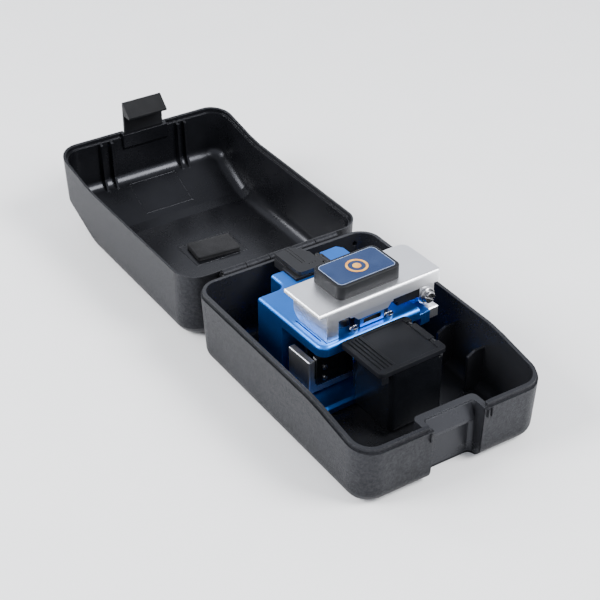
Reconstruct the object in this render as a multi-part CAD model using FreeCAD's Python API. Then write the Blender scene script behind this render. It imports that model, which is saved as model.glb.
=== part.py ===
"""Fibre cleaver in a hinged two-piece carry case.

Row frame, millimetres: the origin lies on the floor under the middle of the
case base. +X runs along the lid's hinge line, +Y from the latch side to the
hinge side, +Z is up. The lid is modelled lying open, turned 180 degrees about
the hinge. The cleaver is drawn in a frame of its own (x across, y along the
fibre, z from the floor) and then set down in the base.
"""

import FreeCAD, Part
import math
import os

os.makedirs("parts", exist_ok=True)
V = FreeCAD.Vector

# ---------------------------------------------------------------- case sizes
CASE_W = 100.0          # base, outside width at the rim
CASE_L = 139.4          # base, outside length at the rim
SHOULDER_Z = 35.2       # base rim shoulder at the hinge side
SHOULDER_FRONT_Z = 28.6  # base rim shoulder at the latch side
KNEE_Y = -32.4          # where the rim starts to fall
TONGUE_H = 2.0          # raised tongue on the rim
SHOULDER_W = 0.95       # width of the shoulder outside the tongue
WALL = 2.6              # base wall
FLOOR_T = 2.2
CORNER_R = 11.5         # vertical corner radius of the case
BOTTOM_R = 7.0          # edge radius between wall and floor
DRAFT = 1.5             # wall draft, per side, over the base height
HINGE_Y = 72.05
HINGE_Z = 35.95
RIM_GAP = 0.3           # gap between lid rim and base shoulder when closed
LID_GROW = 1.1          # lid stands this much proud of the base, per side
LID_WALL = 2.3
LID_TOP_Z = 2 * HINGE_Z  # lid roof, closed, so that it lies on the floor when open
LID_CREASE_Y = -36.0    # where the roof starts to slope, closed
LID_TOP_FRONT_Z = 56.4  # roof height over the latch wall, closed
LID_CORNER_R = 12.0
LID_ROOF_R = 7.5        # outside edge radius of the roof
LATCH_X = 1.0           # latch centre
LATCH_W = 23.0
RECESS_W = 27.0
KNUCKLE_R = 2.05
HINGE_PIN_R = 1.1
HINGE_X0, HINGE_X1 = -32.0, 33.0

# ------------------------------------------------------------- cleaver sizes
CLEAVER_YAW = 2.2       # the cleaver stands slightly turned in its case
CLEAVER_AT = V(0, 20.0, 0)
FOOT_Z = 2.26
PLATE_Z0, PLATE_Z1 = 3.0, 7.5
DECK_Z = 40.3
DECK_T = 5.4
BODY_X0, BODY_X1 = -30.3, 24.6
BODY_Y0, BODY_Y1 = -28.0, 22.5
WALL_Y0 = 2.6           # the deck overhangs the carriage bay in front of this
WING_Y1 = 34.8
WING_RY1 = 36.8
WING_L = (-15.0, -8.4)
WING_R = (15.0, 26.8)
ARM_X0, ARM_X1 = -29.8, 38.4
ARM_Y0, ARM_Y1 = -25.4, 2.2
ARM_Z0, ARM_Z1 = 53.0, 56.0
ARM_LIP_Z = 49.6
LEG_X = (-25.6, -19.4)
PIVOT_X, PIVOT_Z = 32.0, 42.3
PIVOT_R = 1.5
EAR_R = 4.5
PAD_X0, PAD_X1, PAD_Y0, PAD_Y1 = -15.9, 18.7, -21.0, 0.5
PAD_TOP_Z = 62.8
CUT_Y = -7.5            # plane of the blade wheel
WHEEL_R = 8.0
WHEEL_X, WHEEL_Z = -14.0, 31.4
CARR_X = (-29.4, -2.0)
CARR_Y = (-17.2, -1.0)
CARR_Z = (8.5, 26.0)
BIN_X = (-14.0, 15.4)
BIN_Y = (-57.0, -29.6)
BIN_Z = (5.4, 38.0)
BIN_LID_X = (-20.8, 15.8)
BIN_LID_Y = (-58.0, -28.3)
BIN_LID_Z = (38.4, 40.8)
BIN_AXIS_X, BIN_AXIS_Z = 13.9, 39.45
HOLD_Y0, HOLD_Y1 = 23.4, 44.0
CLIP_AXIS_X, CLIP_AXIS_Z = 10.6, 42.3


# ------------------------------------------------------------------- helpers
def box(x0, x1, y0, y1, z0, z1):
    return Part.makeBox(x1 - x0, y1 - y0, z1 - z0, V(x0, y0, z0))


def cyl(r, p0, p1):
    d = V(*p1) - V(*p0)
    return Part.makeCylinder(r, d.Length, V(*p0), d)


def rrect(x0, x1, y0, y1, r, z):
    """Closed wire of a rounded rectangle at height z."""
    e = []
    pts = [(x0 + r, y0), (x1 - r, y0), (x1, y0 + r), (x1, y1 - r), (x1 - r, y1), (x0 + r, y1), (x0, y1 - r), (x0, y0 + r)]
    cen = [(x1 - r, y0 + r, -90), (x1 - r, y1 - r, 0), (x0 + r, y1 - r, 90), (x0 + r, y0 + r, 180)]
    for i in range(4):
        a, b = pts[2 * i], pts[2 * i + 1]
        e.append(Part.makeLine(V(a[0], a[1], z), V(b[0], b[1], z)))
        cx, cy, s = cen[i]
        arc = Part.makeCircle(r, V(cx, cy, z), V(0, 0, 1), s, s + 90)
        e.append(arc)
    return Part.Wire(e)


def rbox(x0, x1, y0, y1, z0, z1, r):
    return Part.Face(rrect(x0, x1, y0, y1, r, z0)).extrude(V(0, 0, z1 - z0))


def prism_yz(pts, x0, x1):
    """Solid with the outline pts in the YZ plane, from x0 to x1."""
    w = Part.makePolygon([V(x0, p[0], p[1]) for p in pts] + [V(x0, pts[0][0], pts[0][1])])
    return Part.Face(w).extrude(V(x1 - x0, 0, 0))


def prism_xz(pts, y0, y1):
    w = Part.makePolygon([V(p[0], y0, p[1]) for p in pts] + [V(pts[0][0], y0, pts[0][1])])
    return Part.Face(w).extrude(V(0, y1 - y0, 0))


def prism_xy(pts, z0, z1):
    w = Part.makePolygon([V(p[0], p[1], z0) for p in pts] + [V(pts[0][0], pts[0][1], z0)])
    return Part.Face(w).extrude(V(0, 0, z1 - z0))


def fuse(*s):
    out = s[0]
    if len(s) > 1:
        out = out.multiFuse(list(s[1:]))
    return out.removeSplitter()


def cut(a, *tools):
    for t in tools:
        a = a.cut(t)
    return a


def edges_where(shape, test):
    out = []
    for e in shape.Edges:
        c = e.BoundBox
        if test(e, c):
            out.append(e)
    return out


def soften(shape, edges, r, chamfer=False):
    """Rounds the edges if the kernel can, one by one where it can't do all."""
    if not edges:
        return shape
    try:
        s = shape.makeChamfer(r, edges) if chamfer else shape.makeFillet(r, edges)
        if s.isValid() and s.Solids:
            return s
    except Exception:
        pass
    print("soften: kept sharp", len(edges), "edges, r", r)
    return shape


def is_line(e, axis, tol=1e-4):
    b = e.BoundBox
    spans = {"x": b.XLength, "y": b.YLength, "z": b.ZLength}
    return all(v < tol for k, v in spans.items() if k != axis) and spans[axis] > tol


def tapered(x0, x1, y0, y1, r, z0, z1, d, shrink_bottom=True):
    """Rounded box whose outline shrinks by d at the bottom (or at the top)."""
    lo, hi = (d, 0.0) if shrink_bottom else (0.0, d)
    w0 = rrect(x0 + lo, x1 - lo, y0 + lo, y1 - lo, max(r - lo * 0.3, 0.5), z0)
    w1 = rrect(x0 + hi, x1 - hi, y0 + hi, y1 - hi, max(r - hi * 0.3, 0.5), z1)
    return Part.makeLoft([w0, w1], True, True)


def around_x(shape, deg):
    s = shape.copy()
    s.rotate(V(0, HINGE_Y, HINGE_Z), V(1, 0, 0), deg)
    return s


def place(shape):
    s = shape.copy()
    s.rotate(V(0, 0, 0), V(0, 0, 1), CLEAVER_YAW)
    s.translate(CLEAVER_AT)
    return s


def solid_of(shape):
    if shape.ShapeType == "Compound" and len(shape.Solids) == 1:
        return shape.Solids[0]
    return shape


NODES = {}


def keep(name, shape, cleaver=False, many=False):
    s = place(shape) if cleaver else shape
    n = len(s.Solids)
    if not many and n != 1:
        print("WARNING", name, "has", n, "solids")
    if not many:
        s = solid_of(s)
    if not s.isValid():
        print("WARNING", name, "is not valid")
    NODES[name] = s


# ================================================================= case base
HX, HY = CASE_W / 2, CASE_L / 2
BIG = 200.0
FRONT = -HY


def rim_cut(dz, y_pad=BIG):
    """Everything above the rim line raised by dz; it falls towards the latch."""
    s = (SHOULDER_Z - SHOULDER_FRONT_Z) / (KNEE_Y - FRONT)
    far = FRONT - 30
    return prism_yz(
        [
            (BIG, SHOULDER_Z + dz),
            (KNEE_Y + 5, SHOULDER_Z + dz),
            (KNEE_Y + 1.6, SHOULDER_Z + dz - 0.18),
            (KNEE_Y - 1.8, SHOULDER_Z + dz - 0.62),
            (KNEE_Y - 5, SHOULDER_Z + dz - 5 * s),
            (far, SHOULDER_Z + dz - (KNEE_Y - far) * s),
            (far, BIG),
            (BIG, BIG),
        ],
        -BIG,
        BIG,
    )


ztop = 40.0
k = ztop / SHOULDER_Z
outer = tapered(-HX, HX, -HY, HY, CORNER_R, 0, ztop, DRAFT * k)
outer = soften(outer, edges_where(outer, lambda e, b: b.ZMax < 1e-3), BOTTOM_R)
inner = tapered(-HX + WALL, HX - WALL, -HY + WALL, HY - WALL, CORNER_R - WALL, FLOOR_T, ztop + 1, DRAFT * k)
inner = soften(inner, edges_where(inner, lambda e, b: b.ZMax < FLOOR_T + 1e-3), BOTTOM_R - 2.2)
tongue_out = tapered(-HX + SHOULDER_W, HX - SHOULDER_W, -HY + SHOULDER_W, HY - SHOULDER_W, CORNER_R - SHOULDER_W, 0, ztop, DRAFT * k)

# latch recess: the front wall steps back over its whole height
RX0, RX1 = LATCH_X - RECESS_W / 2, LATCH_X + RECESS_W / 2
RECESS_Y = -60.6
recess_wall_in = RECESS_Y + 3.6
recess_tool = rbox(RX0, RX1, -BIG, RECESS_Y, -5, 60, 2.2)
recess_tool = cut(recess_tool, box(RX0 - 1, RX1 + 1, -BIG - 1, -HY - 6, -6, 61))
pocket_wall = rbox(RX0 - 3.0, RX1 + 3.0, -HY - 5, recess_wall_in, 0, 60, 3.0)
shell = outer.cut(inner)
shell = shell.fuse(outer.common(pocket_wall))
shell = shell.cut(recess_tool)
shell = shell.cut(rim_cut(TONGUE_H))
# shoulder: outside the tongue the wall stops lower
skirt = outer.cut(tongue_out)
skirt_top = skirt.common(rim_cut(0.0))
shell = shell.cut(skirt_top)
# the rim around the recess is flat and a little lower than the tongue
low = box(RX0 - 1.6, RX1 + 1.6, -HY - 4, recess_wall_in + 0.5, 29.0, 60)
shell = shell.cut(low)
shell = shell.cut(box(RX0 - 3.3, RX1 + 3.3, -HY + 2.9, recess_wall_in + 0.5, 29.0, 60))
# catch ramp on the recess wall
ramp = prism_yz([(RECESS_Y + 0.6, 28.4), (RECESS_Y - 0.5, 28.4), (RECESS_Y - 3.0, 21.2), (RECESS_Y - 3.0, 19.7), (RECESS_Y + 0.6, 19.7)], RX0 + 1.2, RX1 - 1.2)
shell = shell.fuse(ramp)
# inside: low locating gussets that hold the cleaver in the middle
ribs = []
for yy in (-28.2, -6.0):
    ribs.append(prism_xz([(HX - 3.0, 2.0), (HX - 3.0, 24.0), (41.4, 24.0), (37.2, 21.6), (37.2, 2.0)], yy - 0.7, yy + 0.7))
ribs.append(prism_xz([(-HX + 3.0, 2.0), (-HX + 3.0, 20.0), (-41.5, 20.0), (-38.6, 17.2), (-38.6, 2.0)], 25.3, 26.7))
ribs.append(prism_xz([(-HX + 3.0, 2.0), (-HX + 3.0, 25.6), (-38.6, 24.6), (-37.4, 23.4), (-37.4, 2.0)], 2.4, 10.6))
for xx in (-24.5, 27.5):
    ribs.append(prism_yz([(-HY + 1.6, 2.0), (-HY + 1.6, 26.6), (-63.4, 26.6), (-62.4, 12.0), (-62.4, 2.0)], xx - 0.6, xx + 0.6))
keep_in = outer.cut(rim_cut(-1.0))
ribs = [r.common(keep_in) for r in ribs]
shell = fuse(shell, *ribs)
# two small raised ticks beside the recess mouth, outside
ticks = []
for sx, xx in ((-1, RX0 - 1.7), (1, RX1 + 1.7), (1, RX1 + 3.7)):
    ticks.append(box(xx - 0.35, xx + 0.35, -HY - 0.25, -HY + 1.2, 23.8, 28.2))
shell = fuse(shell, *ticks)
# shallow round blind hole in the rear wall
shell = shell.cut(cyl(1.3, (40.4, HY - 3.6, 31.5), (40.4, HY - 1.4, 31.5)))
# ejector mark on the floor
ring = cyl(2.75, (-24.3, -12.3, FLOOR_T - 0.5), (-24.3, -12.3, FLOOR_T + 0.25)).cut(cyl(2.35, (-24.3, -12.3, 0), (-24.3, -12.3, 5)))
shell = shell.fuse(ring)
# hinge knuckles: the base carries the second and fourth of five
seg = (HINGE_X1 - HINGE_X0) / 5.0


def knuckle(i, to_base):
    a = HINGE_X0 + seg * i + 0.2
    b = HINGE_X0 + seg * (i + 1) - 0.2
    c = cyl(KNUCKLE_R, (a, HINGE_Y, HINGE_Z), (b, HINGE_Y, HINGE_Z))
    if to_base:
        w = box(a, b, HY - 1.6, HINGE_Y, HINGE_Z - KNUCKLE_R, HINGE_Z - 0.35)
        g = prism_yz([(HY - 1.6, HINGE_Z - KNUCKLE_R + 0.2), (HINGE_Y, HINGE_Z - KNUCKLE_R + 0.2), (HY - 0.6, HINGE_Z - 6.5), (HY - 1.6, HINGE_Z - 6.5)], a, b)
        return c.fuse(w).fuse(g)
    w = box(a, b, HY - 0.5, HINGE_Y, HINGE_Z + 0.35, HINGE_Z + KNUCKLE_R)
    g = prism_yz([(HY - 1.9, HINGE_Z + KNUCKLE_R - 0.2), (HINGE_Y, HINGE_Z + KNUCKLE_R - 0.2), (HY - 0.6, HINGE_Z + 6.5), (HY - 1.9, HINGE_Z + 6.5)], a, b)
    return c.fuse(w).fuse(g)


base_knuckles = [knuckle(i, True) for i in (1, 3)]
# notches in the base rim where the lid's knuckles swing down
notch = [box(HINGE_X0 + seg * i - 0.2, HINGE_X0 + seg * (i + 1) + 0.2, HY - 0.35, HY + 6, HINGE_Z - 7.2, 60) for i in (0, 2, 4)]
shell = fuse(shell, *base_knuckles)
shell = cut(shell, *notch)
shell = shell.cut(cyl(HINGE_PIN_R, (HINGE_X0 - 1, HINGE_Y, HINGE_Z), (HINGE_X1 + 1, HINGE_Y, HINGE_Z)))
shell = soften(shell, edges_where(shell, lambda e, b: abs(b.XLength) < 1e-3 and abs(b.YLength) < 1e-3 and b.ZLength > 15 and abs(b.YMin + 68.9) < 0.9 and RX0 - 0.5 < b.XMin < RX1 + 0.5), 0.8)
keep("case_base", shell.removeSplitter())
keep("hinge_pin", cyl(HINGE_PIN_R, (HINGE_X0 + 0.3, HINGE_Y, HINGE_Z), (HINGE_X1 - 0.3, HINGE_Y, HINGE_Z)))

# ================================================================== case lid
LX = HX + LID_GROW
LY0, LY1 = -HY - LID_GROW, HY + 0.6
lid_out = tapered(-LX, LX, LY0, LY1, LID_CORNER_R, 20.0, LID_TOP_Z, DRAFT * 1.3, shrink_bottom=False)


def roof_cut(drop, far=-130.0):
    s = (LID_TOP_Z - LID_TOP_FRONT_Z) / (LID_CREASE_Y - LY0)
    return prism_yz(
        [
            (BIG, LID_TOP_Z - drop),
            (LID_CREASE_Y + 3, LID_TOP_Z - drop),
            (LID_CREASE_Y - 3, LID_TOP_Z - drop - 3 * s),
            (far, LID_TOP_Z - drop - (LID_CREASE_Y - far) * s),
            (far, BIG),
            (BIG, BIG),
        ],
        -BIG,
        BIG,
    )


lid_out = lid_out.cut(roof_cut(0.0)).removeSplitter()
lid_out = soften(lid_out, edges_where(lid_out, lambda e, b: b.ZMin > 45 and not is_line(e, "x") or (b.ZMin > 45 and is_line(e, "x") and (b.YMin < LY0 + 4 or b.YMin > LY1 - 5))), LID_ROOF_R)
lid_in = tapered(-LX + LID_WALL, LX - LID_WALL, LY0 + LID_WALL, LY1 - LID_WALL, LID_CORNER_R - LID_WALL, 20.0, LID_TOP_Z + 0.001, DRAFT * 1.3, shrink_bottom=False)
lid_in = lid_in.cut(roof_cut(2.2)).removeSplitter()
lid_in = soften(lid_in, edges_where(lid_in, lambda e, b: b.ZMin > 45 and not is_line(e, "x") or (b.ZMin > 45 and is_line(e, "x") and (b.YMin < LY0 + 6 or b.YMin > LY1 - 7))), LID_ROOF_R - 0.5)
lid = lid_out.cut(lid_in)
# rim: open below the parting line, with a step inside for the base's tongue
under = box(-BIG, BIG, -BIG, BIG, -10, 100).cut(rim_cut(RIM_GAP))
step = tapered(-HX + SHOULDER_W - 0.35, HX - SHOULDER_W + 0.35, -HY + SHOULDER_W - 0.35, HY - SHOULDER_W + 0.35, CORNER_R - SHOULDER_W + 0.3, 20.0, 60.0, 0.0)
step = step.cut(rim_cut(TONGUE_H + 0.45))
lid = lid.cut(under).cut(step)
# latch seat: a bead socket moulded in the front wall, with a backing boss
LX0, LX1 = LATCH_X - LATCH_W / 2, LATCH_X + LATCH_W / 2
BEAD_Y, BEAD_Z, BEAD_R = -69.1, 33.0, 1.5
boss = box(LX0 - 1.8, LX1 + 1.8, LY0 + 1.2, LY0 + 4.6, 29.2, 37.0)
boss = boss.fuse(prism_yz([(LY0 + 1.2, 37.0), (LY0 + 4.6, 37.0), (LY0 + 1.6, 41.0), (LY0 + 1.2, 41.0)], LX0 - 1.8, LX1 + 1.8))
lid = lid.fuse(boss.cut(under))
slot_cut = box(LX0 - 0.3, LX1 + 0.3, -90, BEAD_Y + 1.1, 20, BEAD_Z)
lid = lid.cut(slot_cut).cut(cyl(BEAD_R + 0.15, (LX0 - 0.3, BEAD_Y, BEAD_Z), (LX1 + 0.3, BEAD_Y, BEAD_Z)))
# vertical rib pairs inside the latch wall
lid_ribs = []
for xx in (-25.6, -19.6, 20.8, 25.2):
    lid_ribs.append(prism_yz([(LY0 + 1.0, 29.4), (LY0 + 5.0, 29.4), (LY0 + 6.2, 52.0), (LY0 + 9.5, 60.0), (LY0 + 1.0, 60.0)], xx - 0.65, xx + 0.65))
rib_zone = lid_out.cut(under).cut(step)
lid = fuse(lid, *[r.common(rib_zone) for r in lid_ribs])
# faint raised rectangle on the sloping roof and a round ejector mark
s_roof = (LID_TOP_Z - LID_TOP_FRONT_Z) / (LID_CREASE_Y - LY0)


def roof_in_z(y):
    return LID_TOP_Z - 2.2 - max(0.0, (LID_CREASE_Y - y)) * s_roof


def panel(x0, x1, y0, y1, h):
    return prism_yz([(y0, roof_in_z(y0) + 0.4), (y1, roof_in_z(y1) + 0.4), (y1, roof_in_z(y1) - h), (y0, roof_in_z(y0) - h)], x0, x1)


emboss = panel(-13.0, 16.0, -63.0, -43.0, 0.14).cut(panel(-12.4, 15.4, -62.4, -43.6, 1.0))
frame_pad = box(-13.4, 17.2, -8.2, 13.6, LID_TOP_Z - 2.4, LID_TOP_Z - 1.8).cut(box(-12.8, 16.6, -7.6, 13.0, LID_TOP_Z - 3, LID_TOP_Z - 1))
lid = lid.fuse(frame_pad)
lid = lid.fuse(emboss)
# hinge knuckles of the lid: first, third and fifth
lid_knuckles = []
for i in (0, 2, 4):
    lid_knuckles.append(knuckle(i, False))
lid = fuse(lid, *lid_knuckles)
lid_notch = [box(HINGE_X0 + seg * i - 0.2, HINGE_X0 + seg * (i + 1) + 0.2, HY - 0.65, HY + 6, 20, HINGE_Z + 7.2) for i in (1, 3)]
lid = cut(lid, *lid_notch)
lid = lid.cut(cyl(HINGE_PIN_R + 0.05, (HINGE_X0 - 1, HINGE_Y, HINGE_Z), (HINGE_X1 + 1, HINGE_Y, HINGE_Z)))
keep("case_lid", around_x(lid.removeSplitter(), -180))

foam = rbox(-10.1, 14.3, -4.7, 11.5, LID_TOP_Z - 4.5, LID_TOP_Z - 2.25, 0.8)
foam.rotate(V(2.1, 3.4, 0), V(0, 0, 1), 5.7)  # glued in a little crooked
keep("lid_foam_pad", around_x(foam, -180))

# lid latch: a hook on a flexible flap, drawn closed and turned with the lid
flap = prism_yz(
    [
        (BEAD_Y - 1.25, BEAD_Z), (BEAD_Y - 1.25, 12.6), (BEAD_Y - 0.6, 11.8), (BEAD_Y + 0.4, 11.8),
        (-61.9, 18.0), (-61.9, 19.0), (BEAD_Y + 0.95, 19.0), (BEAD_Y + 0.95, BEAD_Z),
    ],
    LX0, LX1,
)
flap = soften(flap, edges_where(flap, lambda e, b: is_line(e, "z") and b.YMax < BEAD_Y - 1.2), 0.8)
bead = cyl(BEAD_R, (LX0, BEAD_Y, BEAD_Z), (LX1, BEAD_Y, BEAD_Z))
keep("lid_latch", around_x(fuse(flap, bead), -180))

# ============================================================ cleaver: base
plate = rbox(-32.6, 32.6, -29.2, 35.0, PLATE_Z0, PLATE_Z1, 4.5)
plate = soften(plate, edges_where(plate, lambda e, b: b.ZMin > PLATE_Z1 - 1e-3), 1.2, chamfer=True)
plate = soften(plate, edges_where(plate, lambda e, b: b.ZMax < PLATE_Z0 + 1e-3), 0.5, chamfer=True)
plate = plate.cut(rbox(-60, -16.0, 24.2, 60, 0, 20, 3.0))
FEET = [(-25.5, -20.5), (25.5, -20.5), (-25.5, 17.5), (26.5, 17.5)]
for fx, fy in FEET:
    plate = plate.cut(cyl(4.0, (fx, fy, PLATE_Z0 - 1), (fx, fy, PLATE_Z0 + 1.2)))
PLATE_SCREWS = [(-22.0, 8.0), (22.0, 8.0), (-11.0, 28.5), (20.5, 28.5)]
for fx, fy in PLATE_SCREWS:
    plate = plate.cut(cyl(2.8, (fx, fy, PLATE_Z0 - 1), (fx, fy, PLATE_Z0 + 2.4)))
    plate = plate.cut(cyl(1.6, (fx, fy, PLATE_Z0 - 1), (fx, fy, PLATE_Z1 + 1)))
keep("base_plate", plate, cleaver=True)
keep("cleaver_feet", Part.makeCompound([cyl(3.98, (fx, fy, FOOT_Z), (fx, fy, PLATE_Z0 + 1.2)) for fx, fy in FEET]), cleaver=True, many=True)


def cap_screw(x, y, z_under, up, head_r=2.6, head_h=2.2, shank_r=1.5, length=8.0, socket_r=1.25, socket_d=1.2):
    """Socket screw along Z; z_under is the head's seating plane; up=+1 if the head points up."""
    h = cyl(head_r, (x, y, z_under), (x, y, z_under + up * head_h))
    h = soften(h, edges_where(h, lambda e, b: abs(b.ZMin - (z_under + up * head_h)) < 1e-4 and b.ZLength < 1e-4), 0.35)
    s = cyl(shank_r, (x, y, z_under), (x, y, z_under - up * length))
    pts = [V(x + socket_r * math.cos(math.radians(60 * i)), y + socket_r * math.sin(math.radians(60 * i)), z_under + up * (head_h - socket_d)) for i in range(6)]
    hexa = Part.Face(Part.makePolygon(pts + [pts[0]])).extrude(V(0, 0, up * (socket_d + 1)))
    return h.fuse(s).cut(hexa).removeSplitter()


def screw_y(x, y_under, z, head_r, head_h, shank_r, length, slot_w=0.0, hexr=0.0, washer=0.0):
    """Screw along Y whose head points to -Y; y_under is the seating plane."""
    h = cyl(head_r, (x, y_under, z), (x, y_under - head_h, z))
    h = soften(h, edges_where(h, lambda e, b: abs(b.YMin - (y_under - head_h)) < 1e-4 and b.YLength < 1e-4), min(0.5, head_h * 0.3))
    s = cyl(shank_r, (x, y_under, z), (x, y_under + length, z))
    out = h.fuse(s)
    if slot_w:
        t = box(x - head_r - 1, x + head_r + 1, y_under - head_h - 1, y_under - head_h + 0.9, z - slot_w / 2, z + slot_w / 2)
        t.rotate(V(x, y_under, z), V(0, 1, 0), 32)
        out = out.cut(t)
    if hexr:
        pts = [V(x + hexr * math.cos(math.radians(60 * i)), y_under - head_h - 1, z + hexr * math.sin(math.radians(60 * i))) for i in range(6)]
        out = out.cut(Part.Face(Part.makePolygon(pts + [pts[0]])).extrude(V(0, 1 + head_h * 0.55, 0)))
    return out.removeSplitter()


keep("base_screws", Part.makeCompound([cap_screw(fx, fy, PLATE_Z0 + 2.4, -1, head_r=2.7, head_h=2.1, shank_r=1.5, length=9.0) for fx, fy in PLATE_SCREWS]), cleaver=True, many=True)

# ============================================================ cleaver: body
DECK_Z0 = DECK_Z - DECK_T
FIL = 4.6
# plan outline of the deck with wings, drawn anticlockwise from the front left


def arc3(cx, cy, r, a0, a1, z):
    return Part.makeCircle(r, V(cx, cy, z), V(0, 0, 1), a0, a1)


def outline(z, front_y, left_r):
    """Plan of the body: main block and the two rear wings with concave fillets at their roots."""
    x0, x1, y1 = BODY_X0, 28.4, BODY_Y1
    L = Part.makeLine
    e = []
    p = lambda x, y: V(x, y, z)
    e.append(L(p(x0 + left_r, front_y), p(x1 - 1, front_y)))
    e.append(arc3(x1 - 1, front_y + 1, 1, -90, 0, z))
    e.append(L(p(x1, front_y + 1), p(x1, y1 - 1)))
    e.append(arc3(x1 - 1, y1 - 1, 1, 0, 90, z))
    r = 1.2
    # right wing
    e.append(L(p(x1 - 1, y1), p(WING_R[1] + 1.0, y1)))
    e.append(Part.Arc(p(WING_R[1] + 1.0, y1), p(WING_R[1] + 0.3, y1 + 0.3), p(WING_R[1], y1 + 1.0)).toShape())
    e.append(L(p(WING_R[1], y1 + 1.0), p(WING_R[1], WING_RY1 - 3.0)))
    e.append(L(p(WING_R[1], WING_RY1 - 3.0), p(WING_R[1] - 2.2, WING_RY1)))
    e.append(L(p(WING_R[1] - 2.2, WING_RY1), p(WING_R[0], WING_RY1)))
    e.append(L(p(WING_R[0], WING_RY1), p(WING_R[0], y1)))
    e.append(L(p(WING_R[0], y1), p(WING_L[1], y1)))
    e.append(L(p(WING_L[1], y1), p(WING_L[1], WING_Y1)))
    e.append(L(p(WING_L[1], WING_Y1), p(WING_L[0] + r, WING_Y1)))
    e.append(arc3(WING_L[0] + r, WING_Y1 - r, r, 90, 180, z))
    e.append(L(p(WING_L[0], WING_Y1 - r), p(WING_L[0], y1 + FIL)))
    e.append(Part.Arc(p(WING_L[0], y1 + FIL), p(WING_L[0] - FIL * (1 - math.cos(math.radians(45))), y1 + FIL * (1 - math.sin(math.radians(45)))), p(WING_L[0] - FIL, y1)).toShape())
    e.append(L(p(WING_L[0] - FIL, y1), p(x0 + 0.8, y1)))
    e.append(arc3(x0 + 0.8, y1 - 0.8, 0.8, 90, 180, z))
    e.append(L(p(x0, y1 - 0.8), p(x0, front_y + left_r)))
    e.append(arc3(x0 + left_r, front_y + left_r, left_r, 180, 270, z))
    return Part.Wire(Part.__sortEdges__(e))


full = Part.Face(outline(PLATE_Z1, BODY_Y0, 5.0)).extrude(V(0, 0, DECK_Z - PLATE_Z1))
# deck front right is stepped down: the block right of BODY_X1 is lower
full = full.cut(box(BODY_X1, 60, BODY_Y0 - 5, -18.7, 37.2, 60))
full = soften(full, edges_where(full, lambda e, b: b.ZMin > DECK_Z - 1e-3 and b.YMax < BODY_Y0 + 5.2 and b.XMax < BODY_X1 + 0.1), 1.8)
full = soften(full, edges_where(full, lambda e, b: b.ZMin > DECK_Z - 1e-3 and b.XMax < BODY_X0 + 1e-2 and is_line(e, "y")), 0.9, chamfer=True)
# carriage bay under the deck, open to the front and to the left
bay = box(-60, 25.2, -60, WALL_Y0, PLATE_Z1 - 1, DECK_Z0)
bay = bay.fuse(box(-60, 60, -60, -18.5, PLATE_Z1 - 1, 31.0)).fuse(box(25.0, 60, -60, -18.5, PLATE_Z1 - 1, 31.0))
body = full.cut(bay)
# rear hollow that lightens the block and takes the return spring and rail end
body = body.cut(box(-18.0, 18.0, WALL_Y0 + 4.0, BODY_Y1 - 4.0, PLATE_Z1 - 1, 30.0))
# slot for the blade wheel
body = body.cut(rbox(-23.2, 21.2, CUT_Y - 1.8, CUT_Y + 1.8, DECK_Z0 - 1, DECK_Z + 1, 1.7))
# seats for the two lower clamp pads, front and rear of the slot
CLAMP_X = (-9.0, 4.0)
PAD_LOW_Y = ((-15.4, -10.4), (-4.6, 0.4))
for y0, y1 in PAD_LOW_Y:
    body = body.cut(box(CLAMP_X[0] + 2, CLAMP_X[1] - 2, y0, y1, DECK_Z - 1.6, DECK_Z + 1))
# fine slot in the deck beside the arm's leg
body = body.cut(rbox(-27.1, -26.3, -22.5, -3.0, DECK_Z - 1.4, DECK_Z + 1, 0.35))
# magnet seat under the arm's leg
MAG = (-22.35, -14.0)
body = body.cut(cyl(2.5, (MAG[0], MAG[1], DECK_Z - 3.0), (MAG[0], MAG[1], DECK_Z + 1)))
# screw threads from below
for fx, fy in PLATE_SCREWS:
    body = body.cut(cyl(1.5, (fx, fy, PLATE_Z1 - 1), (fx, fy, PLATE_Z1 + 8.0)))
# clamp screw pockets at the deck's front edge
CLAMP_SCREWS = [(-9.8, -23.7), (9.7, -23.7)]
for sx, sy in CLAMP_SCREWS:
    body = body.cut(cyl(1.25, (sx, sy, DECK_Z0 - 1), (sx, sy, DECK_Z + 1)))
# hinge lug of the arm: a rounded upright at the right end
lug = fuse(box(25.4, 36.2, -18.8, -4.2, 31.0, PIVOT_Z), cyl(4.2, (PIVOT_X, -18.8, PIVOT_Z), (PIVOT_X, -4.2, PIVOT_Z)), box(25.4, PIVOT_X, -18.8, -4.2, PIVOT_Z - 0.1, PIVOT_Z + 4.2))
lug = lug.cut(box(31.9, 40, -30, 10, 20, 34.0))
# shelf between the wings that carries the fibre holder
shelf = box(WING_L[1] - 0.5, WING_R[0] + 0.5, BODY_Y1 - 0.5, WING_Y1, 27.0, 33.9)
# lip at the right front that carries the bright end block
lip = box(25.2, 30.6, BODY_Y0 + 0.3, -18.0, 31.0, 37.2)
body = fuse(body, lug, shelf, lip)
# room for the arm's two round ears
body = body.cut(cyl(EAR_R + 0.4, (PIVOT_X, -23.2, PIVOT_Z), (PIVOT_X, -18.9, PIVOT_Z))).cut(cyl(EAR_R + 0.4, (PIVOT_X, -4.1, PIVOT_Z), (PIVOT_X, 2.0, PIVOT_Z)))
body = body.cut(cyl(PIVOT_R, (PIVOT_X, -30, PIVOT_Z), (PIVOT_X, 10, PIVOT_Z)))
# holes for the scrap bin's two pegs: a cross bar under the deck's front edge
BIN_PEG = [(-4.4, 20.0), (9.5, 20.0)]
keep("cleaver_body", body, cleaver=True)

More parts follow.
